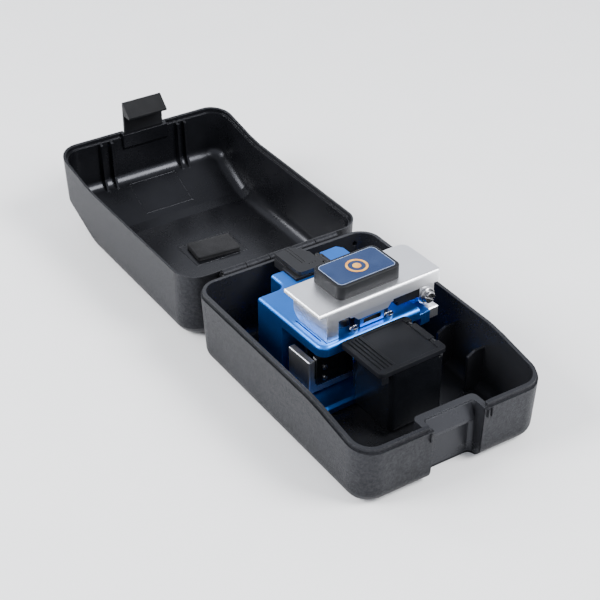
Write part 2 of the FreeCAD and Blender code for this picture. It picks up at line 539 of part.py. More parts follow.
bracket = rbox(-8.0, 13.5, -25.6, -21.2, PLATE_Z1, 25.0, 1.0)
for bx, bz in BIN_PEG:
    bracket = bracket.cut(cyl(1.65, (bx, -26.5, bz), (bx, -20.0, bz)))
bracket = bracket.cut(box(-1.4, 6.4, -27, -20, PLATE_Z1 + 5, 16.0))
keep("bin_bracket", bracket, cleaver=True)

keep("clamp_pads_lower", Part.makeCompound([box(CLAMP_X[0] + 2, CLAMP_X[1] - 2, y0, y1, DECK_Z - 1.6, DECK_Z + 0.35) for y0, y1 in PAD_LOW_Y]), cleaver=True, many=True)
keep("jaw_guides", Part.makeCompound([soften(box(x0, x1, -19.8, -10.6, DECK_Z, 45.6), edges_where(box(x0, x1, -19.8, -10.6, DECK_Z, 45.6), lambda e, b: b.ZMin > 45.5), 0.4, chamfer=True) for x0, x1 in ((-18.2, -9.2), (7.2, 12.4))]), cleaver=True, many=True)
keep("arm_magnet", cyl(2.5, (MAG[0], MAG[1], DECK_Z - 3.0), (MAG[0], MAG[1], DECK_Z - 0.02)), cleaver=True)
keep("clamp_screws", Part.makeCompound([cyl(2.1, (sx, sy, DECK_Z), (sx, sy, DECK_Z + 1.7)).fuse(cyl(1.25, (sx, sy, DECK_Z - 4.0), (sx, sy, DECK_Z + 0.5))).cut(box(sx - 3, sx + 3, sy - 0.3, sy + 0.3, DECK_Z + 1.0, DECK_Z + 3)).removeSplitter() for sx, sy in CLAMP_SCREWS]), cleaver=True, many=True)

# bright end block at the right of the deck
endb = rbox(30.6, 36.6, -26.6, -19.0, 31.6, 37.1, 0.6)
endb = soften(endb, edges_where(endb, lambda e, b: b.ZMin > 37.1 - 1e-3), 0.5, chamfer=True)
keep("end_block", endb, cleaver=True)

# linear rail under the carriage
rail = box(-26.0, 25.0, -10.0, -5.0, PLATE_Z1, 12.0)
rail = rail.cut(box(-30, 30, -10.5, -9.3, 8.6, 10.2)).cut(box(-30, 30, -5.7, -4.5, 8.6, 10.2))
RAIL_SCREWS = [-20.0, 0.0, 20.0]
for sx in RAIL_SCREWS:
    rail = rail.cut(cyl(1.7, (sx, CUT_Y, 10.4), (sx, CUT_Y, 14.0))).cut(cyl(1.0, (sx, CUT_Y, PLATE_Z1 - 1), (sx, CUT_Y, 14.0)))
keep("linear_rail", rail, cleaver=True)
keep("rail_screws", Part.makeCompound([cap_screw(sx, CUT_Y, 10.4, 1, head_r=1.65, head_h=1.3, shank_r=1.0, length=2.9, socket_r=0.75, socket_d=0.7) for sx in RAIL_SCREWS]), cleaver=True, many=True)

# ======================================================== cleaver: carriage
cx0, cx1 = CARR_X
cy0, cy1 = CARR_Y
cz0, cz1 = CARR_Z
TH = 3.2
carr_pts = [
    (cx0, cz0), (cx1, cz0), (cx1, cz0 + 5.9), (cx0 + TH + 1.4, cz0 + 5.9), (cx0 + TH + 0.5, cz0 + 6.3), (cx0 + TH, cz0 + 7.3), (cx0 + TH, cz1), (cx0, cz1),
]
carr = prism_xz(carr_pts, cy0, cy1)
carr = carr.cut(box(cx0 + 2.0, 10, -12.2, -2.8, cz0 - 1, 12.95))
carr = carr.cut(box(cx0 - 1, cx0 + 3.0, -12.2, -2.8, cz0 - 1, 12.2))
carr = carr.removeSplitter()
carr = soften(carr, edges_where(carr, lambda e, b: is_line(e, "z") and b.XMax < cx0 + 1e-3 and b.ZLength > 8), 0.7)
carr = soften(carr, edges_where(carr, lambda e, b: b.ZMin > cz1 - 1e-3 and is_line(e, "y") and b.XMax < cx0 + 1e-3), 0.6)
keep("blade_carriage", carr, cleaver=True)

rblock = box(-22.0, -6.0, -11.6, -3.4, 8.8, 12.95)
rblock = rblock.cut(box(-30, 0, -10.1, -4.9, 7, 12.15))
rblock = rblock.fuse(box(-22.0, -6.0, -10.6, -9.42, 8.9, 9.9)).fuse(box(-22.0, -6.0, -5.58, -4.4, 8.9, 9.9)).removeSplitter()
rblock = rblock.cut(box(-30, 0, -9.42, -5.58, 7, 12.15))
keep("rail_block", rblock, cleaver=True)

# black blade holder: foot, front cheek and wheel fork
HCHEEK = soften(box(-25.9, -5.4, -18.3, -15.5, 12.6, 27.5), edges_where(box(-25.9, -5.4, -18.3, -15.5, 12.6, 27.5), lambda e, b: False), 1.0)
HCHEEK = cut(HCHEEK, box(-30, 0, -17.25, -15.0, 10, cz0 + 5.95), box(-30, cx0 + TH + 0.05, -17.25, -15.0, 10, 40), box(-30, -24.75, -17.25, -15.0, 10, 15.95))
hold = fuse(
    box(-24.6, -4.0, -15.6, -1.8, cz0 + 5.9, 19.4),
    HCHEEK,
    box(-21.0, -7.0, -13.0, -10.6, 19.3, 34.0),
    box(-21.0, -7.0, -4.4, -2.0, 19.3, 34.0),
)
hold = soften(hold, edges_where(hold, lambda e, b: is_line(e, "y") and b.ZMin > 33.9), 2.5)
hold = soften(hold, edges_where(hold, lambda e, b: is_line(e, "y") and b.YMin < -18.2 and b.ZMax < 12.7), 0.95)
hold = soften(hold, edges_where(hold, lambda e, b: b.YMax < -18.2), 0.4)
hold = hold.cut(cyl(WHEEL_R + 1.0, (WHEEL_X, CUT_Y - 2.9, WHEEL_Z), (WHEEL_X, CUT_Y + 2.9, WHEEL_Z)))
hold = hold.cut(cyl(1.5, (WHEEL_X, -14, WHEEL_Z), (WHEEL_X, 0, WHEEL_Z)))
HSCR = [(-21.4, 21.6), (-21.4, 15.7)]
for sx, sz in HSCR:
    hold = hold.cut(cyl(0.8, (sx, -19, sz), (sx, -14.0, sz)))
keep("blade_holder", hold, cleaver=True)
keep("blade_holder_screws", Part.makeCompound([screw_y(sx, -18.3, sz, 1.3, 0.7, 0.8, 4.2, hexr=0.6) for sx, sz in HSCR]), cleaver=True, many=True)

wheel = cyl(WHEEL_R - 0.7, (WHEEL_X, CUT_Y - 1.0, WHEEL_Z), (WHEEL_X, CUT_Y + 1.0, WHEEL_Z))
c1 = Part.makeCone(WHEEL_R - 0.7, WHEEL_R, 0.85, V(WHEEL_X, CUT_Y - 0.9, WHEEL_Z), V(0, 1, 0))
c2 = Part.makeCone(WHEEL_R - 0.7, WHEEL_R, 0.85, V(WHEEL_X, CUT_Y + 0.9, WHEEL_Z), V(0, -1, 0))
rim = cyl(WHEEL_R, (WHEEL_X, CUT_Y - 0.05, WHEEL_Z), (WHEEL_X, CUT_Y + 0.05, WHEEL_Z))
wheel = fuse(wheel, c1, c2, rim)
wheel = wheel.cut(cyl(2.0, (WHEEL_X, CUT_Y - 5, WHEEL_Z), (WHEEL_X, CUT_Y + 5, WHEEL_Z)))
wheel = wheel.cut(Part.makeTorus(5.6, 0.35, V(WHEEL_X, CUT_Y - 1.05, WHEEL_Z), V(0, 1, 0)))
keep("blade_wheel", wheel, cleaver=True)
hub = cyl(2.0, (WHEEL_X, CUT_Y - 2.6, WHEEL_Z), (WHEEL_X, CUT_Y + 2.6, WHEEL_Z)).cut(cyl(1.5, (WHEEL_X, -20, WHEEL_Z), (WHEEL_X, 5, WHEEL_Z)))
hub = fuse(hub, cyl(3.2, (WHEEL_X, CUT_Y + 1.02, WHEEL_Z), (WHEEL_X, CUT_Y + 2.6, WHEEL_Z)).cut(cyl(1.5, (WHEEL_X, -20, WHEEL_Z), (WHEEL_X, 5, WHEEL_Z))))
keep("blade_hub", hub, cleaver=True)
# the axle runs with a small clearance in the hub
axle = screw_y(WHEEL_X, -13.05, WHEEL_Z, 2.6, 1.5, 1.45, 12.0, hexr=1.1)
keep("blade_axle", axle, cleaver=True)

# ============================================================= cleaver: arm
arm = rbox(ARM_X0, ARM_X1, ARM_Y0, ARM_Y1, ARM_LIP_Z, ARM_Z1, 2.0)
arm = arm.cut(box(ARM_X1 - 5.0, ARM_X1 + 5, ARM_Y1 - 5.0, ARM_Y1 + 5, 40, 60).cut(cyl(5.0, (ARM_X1 - 5.0, ARM_Y1 - 5.0, 39), (ARM_X1 - 5.0, ARM_Y1 - 5.0, 61))))
arm = arm.fuse(box(ARM_X0, ARM_X0 + 6, ARM_Y0, ARM_Y1, ARM_LIP_Z, ARM_Z1)).removeSplitter()
hollow = box(ARM_X0 - 1, ARM_X1 - 2.4, ARM_Y0 + 3.0, ARM_Y1 - 2.4, ARM_LIP_Z - 1, ARM_Z0)
hollow = hollow.fuse(box(ARM_X0 - 1, LEG_X[0], ARM_Y0 - 1, ARM_Y1 + 1, ARM_LIP_Z - 1, 54.2))
arm = arm.cut(hollow)
arm = soften(arm, edges_where(arm, lambda e, b: b.ZMin > ARM_Z1 - 1e-3 and b.YMax < ARM_Y0 + 2.1), 1.3)
arm = soften(arm, edges_where(arm, lambda e, b: b.ZMin > ARM_Z1 - 1e-3), 0.45, chamfer=True)
leg = box(LEG_X[0], LEG_X[1], ARM_Y0, ARM_Y1 - 2.0, DECK_Z + 0.3, ARM_Z0 + 0.1)
leg = soften(leg, edges_where(leg, lambda e, b: is_line(e, "x") and b.ZMax < DECK_Z + 0.31 and b.YMin > 0 - 2.0), 6.0)


def ear(y0, y1):
    e = fuse(cyl(EAR_R, (PIVOT_X, y0, PIVOT_Z), (PIVOT_X, y1, PIVOT_Z)), box(PIVOT_X - EAR_R, PIVOT_X + EAR_R, y0, y1, PIVOT_Z, ARM_Z0 + 0.1))
    return e


arm = fuse(arm, leg, ear(-22.6, -19.2), ear(-3.8, -0.8))
# inside bars that carry the clamp and stiffen the plate
arm = arm.cut(cyl(PIVOT_R + 0.05, (PIVOT_X, -40, PIVOT_Z), (PIVOT_X, 20, PIVOT_Z)))
ANVIL = (-2.5, CUT_Y)
arm = arm.cut(cyl(1.6, (ANVIL[0], ANVIL[1], ARM_LIP_Z - 5), (ANVIL[0], ANVIL[1], ARM_Z1 - 0.8)))
# clearance over the lug when the arm swings open
keep("top_arm", arm, cleaver=True)

# pivot: a shouldered screw through both ears, with a washer and a nut behind
piv = screw_y(PIVOT_X, -24.1, PIVOT_Z, 2.9, 1.9, PIVOT_R, 26.6, slot_w=0.9)
keep("arm_pivot_screw", piv, cleaver=True)
wash = cyl(4.0, (PIVOT_X, -24.08, PIVOT_Z), (PIVOT_X, -22.75, PIVOT_Z)).cut(cyl(PIVOT_R, (PIVOT_X, -30, PIVOT_Z), (PIVOT_X, -20, PIVOT_Z)))
wash = soften(wash, edges_where(wash, lambda e, b: abs(b.YMin + 24.08) < 1e-3 and b.YLength < 1e-4 and b.XLength > 7), 0.3, chamfer=True)
keep("pivot_washer", wash, cleaver=True)
pts = [V(PIVOT_X + 3.0 * math.cos(math.radians(60 * i)), -0.6, PIVOT_Z + 3.0 * math.sin(math.radians(60 * i))) for i in range(6)]
nut = Part.Face(Part.makePolygon(pts + [pts[0]])).extrude(V(0, 2.3, 0)).cut(cyl(PIVOT_R, (PIVOT_X, -3, PIVOT_Z), (PIVOT_X, 5, PIVOT_Z)))
keep("pivot_nut", nut, cleaver=True)

# rubber pad on top of the arm, with an inlaid label
pad = rbox(PAD_X0, PAD_X1, PAD_Y0, PAD_Y1, ARM_Z1, PAD_TOP_Z, 3.4)
pad = soften(pad, edges_where(pad, lambda e, b: b.ZMin > PAD_TOP_Z - 1e-3), 0.7)
pad = pad.cut(rbox(PAD_X0 + 1.5, PAD_X1 - 1.5, PAD_Y0 + 1.5, PAD_Y1 - 1.5, PAD_TOP_Z - 0.35, PAD_TOP_Z + 1, 2.6))
keep("arm_pad", pad, cleaver=True)
label = rbox(PAD_X0 + 1.6, PAD_X1 - 1.6, PAD_Y0 + 1.6, PAD_Y1 - 1.6, PAD_TOP_Z - 0.35, PAD_TOP_Z + 0.05, 2.5)
LCX, LCY = (PAD_X0 + PAD_X1) / 2, (PAD_Y0 + PAD_Y1) / 2
keep("pad_label", label, cleaver=True)
ring = cyl(5.2, (LCX, LCY, PAD_TOP_Z + 0.05), (LCX, LCY, PAD_TOP_Z + 0.2)).cut(cyl(4.1, (LCX, LCY, PAD_TOP_Z), (LCX, LCY, PAD_TOP_Z + 1)))
dot = cyl(2.0, (LCX, LCY, PAD_TOP_Z + 0.05), (LCX, LCY, PAD_TOP_Z + 0.2))
keep("pad_emblem", Part.makeCompound([ring, dot]), cleaver=True, many=True)

# clamp block under the arm's front lip, T-shaped in steps, with a window
CB_Y0 = ARM_Y0 + 0.7
cb = fuse(
    box(-12.4, 11.4, CB_Y0, -20.2, 48.0, ARM_Z0),
    prism_xz([(-10.6, 48.1), (-8.0, 45.6), (8.4, 45.6), (10.4, 48.1)], CB_Y0, -20.2),
    box(-6.8, 6.3, CB_Y0 + 0.25, -20.2, DECK_Z + 0.6, 45.7),
)
cb = cb.cut(box(-5.0, 4.7, CB_Y0 - 1, CB_Y0 + 2.4, DECK_Z + 1.9, DECK_Z + 4.4))
cb = fuse(cb, box(-8.4, 3.8, -20.3, -10.2, 44.6, ARM_Z0))
cb = soften(cb, edges_where(cb, lambda e, b: is_line(e, "x") and b.YMax < CB_Y0 + 0.26 and (abs(b.ZMin - 45.6) < 1e-3 or abs(b.ZMin - 48.0) < 1e-3)), 0.35, chamfer=True)
cb = cb.cut(arm)
keep("clamp_block", cb, cleaver=True)
cbr = box(-8.4, 3.4, -4.6, -0.6 - 0.6, 44.6, ARM_Z0)
keep("clamp_block_rear", cbr, cleaver=True)
keep("clamp_pads_upper", Part.makeCompound([box(-6.0, 1.0, -15.2, -10.6, DECK_Z + 0.7, 44.6), box(-6.0, 1.0, -4.4, -1.4, DECK_Z + 0.7, 44.6)]), cleaver=True, many=True)
stiff = box(12.6, 26.9, ARM_Y0 + 1.3, -19.6, 43.9, ARM_Z0)
stiff = stiff.cut(box(12, 14.2, -40, 10, 42, 46.2))
stiff = stiff.cut(arm)
keep("arm_stiffener", stiff, cleaver=True)

# anvil: a small plunger between the clamps, pushed down by its spring
anv = fuse(
    cyl(1.5, (ANVIL[0], ANVIL[1], 43.2), (ANVIL[0], ANVIL[1], 53.6)),
    box(ANVIL[0] - 2.0, ANVIL[0] + 2.0, ANVIL[1] - 0.9, ANVIL[1] + 0.9, DECK_Z + 1.0, 44.0),
    cyl(2.4, (ANVIL[0], ANVIL[1], 44.0), (ANVIL[0], ANVIL[1], 45.2)),
)
keep("anvil", anv, cleaver=True)
coil = cyl(2.3, (ANVIL[0], ANVIL[1], 45.25), (ANVIL[0], ANVIL[1], ARM_Z0 - 0.05)).cut(cyl(1.65, (ANVIL[0], ANVIL[1], 40), (ANVIL[0], ANVIL[1], 60)))
for i in range(5):
    zc = 45.25 + 0.75 + i * 1.5
    coil = coil.cut(Part.makeTorus(2.5, 0.42, V(ANVIL[0], ANVIL[1], zc), V(0, 0, 1)))
keep("anvil_spring", coil, cleaver=True)

# ====================================================== cleaver: scrap bin
b_out = rbox(BIN_X[0], BIN_X[1], BIN_Y[0], BIN_Y[1], BIN_Z[0], BIN_Z[1], 2.6)
b_out = soften(b_out, edges_where(b_out, lambda e, b: b.ZMax < BIN_Z[0] + 1e-3), 1.2)
b_in = rbox(BIN_X[0] + 1.6, BIN_X[1] - 1.6, BIN_Y[0] + 1.6, BIN_Y[1] - 1.6, BIN_Z[0] + 1.6, BIN_Z[1] + 5, 1.4)
binb = b_out.cut(b_in)
binb = binb.cut(box(BIN_X[1] - 3.6, BIN_X[1] + 2, BIN_Y[0] - 1, BIN_Y[1] + 1, 36.1, 60))
EARS_Y = (-34.3, -50.2)
for yy in EARS_Y:
    e = fuse(cyl(1.35, (BIN_AXIS_X, yy - 1.1, BIN_AXIS_Z), (BIN_AXIS_X, yy + 1.1, BIN_AXIS_Z)), box(BIN_AXIS_X - 1.35, BIN_AXIS_X + 1.35, yy - 1.1, yy + 1.1, 30.0, BIN_AXIS_Z))
    e = e.cut(box(BIN_AXIS_X - 3, BIN_X[1] - 1.7, yy - 2, yy + 2, 20, 35.0))
    binb = binb.fuse(e)
binb = binb.removeSplitter()
for bx, bz in BIN_PEG:
    binb = binb.fuse(cyl(1.6, (bx, BIN_Y[1] - 0.5, bz), (bx, -22.5, bz)))
binb = binb.cut(cyl(0.7, (BIN_AXIS_X, -60, BIN_AXIS_Z), (BIN_AXIS_X, -20, BIN_AXIS_Z))).removeSplitter()
keep("scrap_bin", binb, cleaver=True)
keep("bin_hinge_pin", cyl(0.7, (BIN_AXIS_X, -53.4, BIN_AXIS_Z), (BIN_AXIS_X, -31.0, BIN_AXIS_Z)), cleaver=True)

bl = rbox(BIN_LID_X[0], BIN_LID_X[1], BIN_LID_Y[0], BIN_LID_Y[1], BIN_LID_Z[0], BIN_LID_Z[1], 2.4)
bl = soften(bl, edges_where(bl, lambda e, b: b.ZMin > BIN_LID_Z[1] - 1e-3), 0.5)
for yy in EARS_Y:
    bl = bl.cut(box(BIN_AXIS_X - 1.75, BIN_LID_X[1] + 1, yy - 1.45, yy + 1.45, 30, 45))
bl = bl.cut(cyl(0.75, (BIN_AXIS_X, -53.9, BIN_AXIS_Z), (BIN_AXIS_X, -30.5, BIN_AXIS_Z)))
pan = rbox(-10.6, 12.2, BIN_LID_Y[0] + 2.0, BIN_LID_Y[1] - 1.9, BIN_LID_Z[1] - 0.45, BIN_LID_Z[1] + 1, 0.8)
bl = bl.cut(pan)
for gx in (-18.3, -16.3, -14.3, -12.4):
    bl = bl.cut(rbox(gx - 0.4, gx + 0.4, BIN_LID_Y[0] + 3.0, BIN_LID_Y[1] - 2.2, BIN_LID_Z[1] - 0.55, BIN_LID_Z[1] + 1, 0.38))
bl = bl.fuse(box(-19.6, -16.6, BIN_LID_Y[0] + 0.2, BIN_LID_Y[0] + 0.9, 34.9, BIN_LID_Z[0] + 0.3)).removeSplitter()
keep("scrap_bin_lid", bl, cleaver=True)

# ==================================================== cleaver: fibre holder
HB_X0, HB_X1 = WING_L[1] + 0.35, WING_R[0] - 0.35
hb = box(HB_X0, HB_X1, HOLD_Y0, 34.6, 34.0, 41.2)
hb = fuse(hb, box(-6.2, 9.4, 34.0, HOLD_Y1, 36.6, 41.2))
hb = hb.cut(box(3.5, HB_X1 + 1, 30.5, 34.7, 38.2, 45)).fuse(prism_xy([(3.6, 30.4), (HB_X1, 30.4), (HB_X1, 34.6), (9.0, 34.6)], 38.1, 41.2)).removeSplitter()
hb = hb.cut(box(-0.4, 0.4, HOLD_Y0 - 1, HOLD_Y1 + 1, 40.7, 45))
hb = hb.fuse(fuse(box(9.2, 13.4, 24.0, 25.8, 41.0, CLIP_AXIS_Z), cyl(1.3, (CLIP_AXIS_X, 24.0, CLIP_AXIS_Z), (CLIP_AXIS_X, 25.8, CLIP_AXIS_Z)))).removeSplitter()
hb = hb.fuse(fuse(box(9.2, 13.4, 31.4, 33.2, 41.0, CLIP_AXIS_Z), cyl(1.3, (CLIP_AXIS_X, 31.4, CLIP_AXIS_Z), (CLIP_AXIS_X, 33.2, CLIP_AXIS_Z)))).removeSplitter()
hb = hb.cut(cyl(0.6, (CLIP_AXIS_X, 20, CLIP_AXIS_Z), (CLIP_AXIS_X, 40, CLIP_AXIS_Z)))
# room under the clip's knuckle
hb = hb.cut(cyl(1.5, (CLIP_AXIS_X, 25.85, CLIP_AXIS_Z), (CLIP_AXIS_X, 31.35, CLIP_AXIS_Z)))
keep("fiber_holder", hb, cleaver=True)
clip = prism_xy([(-5.9, 24.6), (-5.0, 23.7), (6.2, 23.2), (8.4, 24.0), (8.6, 26.0), (8.6, 36.0), (4.6, HOLD_Y1 - 1.0), (3.4, HOLD_Y1), (-5.9, HOLD_Y1)], 41.35, 43.6)
clip = clip.cut(box(-0.15, 0.25, HOLD_Y0 + 6, HOLD_Y1 + 1, 43.2, 45)).cut(box(1.5, 1.9, HOLD_Y0 + 6, HOLD_Y1 + 1, 43.2, 45))
for i, tx in enumerate((2.6, 4.3, 6.0)):
    clip = clip.cut(prism_xy([(tx - 0.5, 27.4), (tx + 0.5, 27.4), (tx, 28.3)], 43.1, 45))
clip = clip.fuse(fuse(cyl(1.25, (CLIP_AXIS_X, 26.1, CLIP_AXIS_Z), (CLIP_AXIS_X, 31.1, CLIP_AXIS_Z)), box(8.0, CLIP_AXIS_X, 26.1, 31.1, 41.5, 43.5))).removeSplitter()
clip = clip.cut(cyl(0.65, (CLIP_AXIS_X, 20, CLIP_AXIS_Z), (CLIP_AXIS_X, 40, CLIP_AXIS_Z)))
keep("holder_clip", clip, cleaver=True)
keep("clip_pin", cyl(0.6, (CLIP_AXIS_X, 24.2, CLIP_AXIS_Z), (CLIP_AXIS_X, 33.0, CLIP_AXIS_Z)), cleaver=True)

for name, shape in NODES.items():
    shape.exportStep("parts/%s.step" % name)
    b = shape.BoundBox
    print("%-20s %2d solid  vol %9.1f  x %7.2f %7.2f  y %7.2f %7.2f  z %6.2f %6.2f" % (name, len(shape.Solids), shape.Volume, b.XMin, b.XMax, b.YMin, b.YMax, b.ZMin, b.ZMax))
print(len(NODES), "nodes")
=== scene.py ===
import math

import bmesh
import bpy
from mathutils import Matrix, Vector, noise


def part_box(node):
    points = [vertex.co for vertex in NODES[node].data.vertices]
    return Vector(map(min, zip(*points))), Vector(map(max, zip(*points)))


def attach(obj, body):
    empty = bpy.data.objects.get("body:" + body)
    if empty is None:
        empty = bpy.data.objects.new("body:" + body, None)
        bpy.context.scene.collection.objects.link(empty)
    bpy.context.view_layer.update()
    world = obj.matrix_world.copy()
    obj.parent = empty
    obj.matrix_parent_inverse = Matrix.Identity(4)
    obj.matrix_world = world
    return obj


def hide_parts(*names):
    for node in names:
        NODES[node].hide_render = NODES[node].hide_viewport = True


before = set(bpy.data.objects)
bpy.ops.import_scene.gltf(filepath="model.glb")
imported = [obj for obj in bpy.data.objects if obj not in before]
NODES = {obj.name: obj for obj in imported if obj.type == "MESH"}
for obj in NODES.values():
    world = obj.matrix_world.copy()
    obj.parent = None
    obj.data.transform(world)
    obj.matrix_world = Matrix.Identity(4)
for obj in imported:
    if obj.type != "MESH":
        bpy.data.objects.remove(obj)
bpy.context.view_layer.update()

MM = 0.001


# ------------------------------------------------------------ material helper
class Mat:
    """A node material built from named steps. Lengths are in metres, in the row frame."""

    def __init__(self, name, colour, metallic, rough):
        self.m = bpy.data.materials.new(name)
        self.m.use_nodes = True
        self.t = self.m.node_tree
        self.b = self.t.nodes["Principled BSDF"]
        self.b.inputs["Base Color"].default_value = (*colour, 1.0)
        self.b.inputs["Metallic"].default_value = metallic
        self.b.inputs["Roughness"].default_value = rough
        self.co = self.new("ShaderNodeTexCoord").outputs["Object"]

    def new(self, kind, **props):
        n = self.t.nodes.new(kind)
        for k, v in props.items():
            setattr(n, k, v)
        return n

    def put(self, sock, value):
        if hasattr(value, "is_linked") or hasattr(value, "links"):
            self.t.links.new(value, sock)
        else:
            sock.default_value = value

    def math(self, op, a, b=None, c=None, clamp=False):
        n = self.new("ShaderNodeMath", operation=op, use_clamp=clamp)
        self.put(n.inputs[0], a)
        if b is not None:
            self.put(n.inputs[1], b)
        if c is not None:
            self.put(n.inputs[2], c)
        return n.outputs[0]

    def stretch(self, scale, rot=(0, 0, 0)):
        n = self.new("ShaderNodeMapping")
        self.t.links.new(self.co, n.inputs["Vector"])
        n.inputs["Scale"].default_value = scale
        n.inputs["Rotation"].default_value = rot
        return n.outputs[0]

    def noise(self, scale, detail=3.0, rough=0.55, vec=None, distort=0.0):
        n = self.new("ShaderNodeTexNoise")
        n.inputs["Scale"].default_value = scale
        n.inputs["Detail"].default_value = detail
        n.inputs["Roughness"].default_value = rough
        n.inputs["Distortion"].default_value = distort
        self.t.links.new(vec if vec is not None else self.co, n.inputs["Vector"])
        return n.outputs["Fac"]

    def cells(self, scale, vec=None, feature="F1", randomness=1.0):
        n = self.new("ShaderNodeTexVoronoi", feature=feature)
        n.inputs["Scale"].default_value = scale
        n.inputs["Randomness"].default_value = randomness
        self.t.links.new(vec if vec is not None else self.co, n.inputs["Vector"])
        return n.outputs["Distance"]

    def fit(self, v, a, b, lo, hi):
        n = self.new("ShaderNodeMapRange")
        self.put(n.inputs["Value"], v)
        n.inputs["From Min"].default_value = a
        n.inputs["From Max"].default_value = b
        n.inputs["To Min"].default_value = lo
        n.inputs["To Max"].default_value = hi
        return n.outputs["Result"]

    def mix(self, fac, a, b):
        n = self.new("ShaderNodeMix", data_type="RGBA")
        self.put(n.inputs["Factor"], fac)
        for sock, v in ((n.inputs[6], a), (n.inputs[7], b)):
            if isinstance(v, (tuple, list)):
                sock.default_value = (*v[:3], 1.0)
            else:
                self.t.links.new(v, sock)
        return n.outputs[2]

    def mixf(self, fac, a, b):
        n = self.new("ShaderNodeMix", data_type="FLOAT")
        self.put(n.inputs["Factor"], fac)
        self.put(n.inputs[2], a)
        self.put(n.inputs[3], b)
        return n.outputs[0]

    def bump(self, height, dist, strength=1.0, normal=None):
        n = self.new("ShaderNodeBump")
        n.inputs["Strength"].default_value = strength
        n.inputs["Distance"].default_value = dist
        self.t.links.new(height, n.inputs["Height"])
        if normal is not None:
            self.t.links.new(normal, n.inputs["Normal"])
        return n.outputs["Normal"]

    def bevel(self, radius, samples=4):
        n = self.new("ShaderNodeBevel", samples=samples)
        n.inputs["Radius"].default_value = radius
        return n.outputs["Normal"]

    def edge_mask(self, bevel_normal, lo=0.02, hi=0.16):
        """1 on convex and concave edges, 0 on faces: how far the rounded normal leans from the true one."""
        g = self.new("ShaderNodeNewGeometry")
        d = self.new("ShaderNodeVectorMath", operation="DOT_PRODUCT")
        self.t.links.new(bevel_normal, d.inputs[0])
        self.t.links.new(g.outputs["Normal"], d.inputs[1])
        lean = self.math("SUBTRACT", 1.0, d.outputs["Value"])
        return self.fit(lean, lo, hi, 0.0, 1.0)

    def colour(self, v):
        self.t.links.new(v, self.b.inputs["Base Color"])

    def rough(self, v):
        self.t.links.new(v, self.b.inputs["Roughness"])

    def normal(self, v):
        self.t.links.new(v, self.b.inputs["Normal"])

    def xyz(self):
        s = self.new("ShaderNodeSeparateXYZ")
        self.t.links.new(self.co, s.inputs[0])
        return s.outputs[0], s.outputs[1], s.outputs[2]

    def round_rect(self, cx, cy, hx, hy, r, grow=None):
        """Signed distance in plan to a rounded rectangle; grow adds to its half sizes."""
        x, y, z = self.xyz()
        ax = self.math("ABSOLUTE", self.math("SUBTRACT", x, cx))
        ay = self.math("ABSOLUTE", self.math("SUBTRACT", y, cy))
        qx = self.math("SUBTRACT", ax, hx - r)
        qy = self.math("SUBTRACT", ay, hy - r)
        if grow is not None:
            qx = self.math("SUBTRACT", qx, grow)
            qy = self.math("SUBTRACT", qy, grow)
        mx = self.math("MAXIMUM", qx, 0.0)
        my = self.math("MAXIMUM", qy, 0.0)
        ln = self.math("SQRT", self.math("ADD", self.math("MULTIPLY", mx, mx), self.math("MULTIPLY", my, my)))
        mn = self.math("MINIMUM", self.math("MAXIMUM", qx, qy), 0.0)
        return self.math("SUBTRACT", self.math("ADD", ln, mn), r)


def dress(mat, *names):
    for n in names:
        me = NODES[n].data
        me.materials.clear()
        me.materials.append(mat.m)


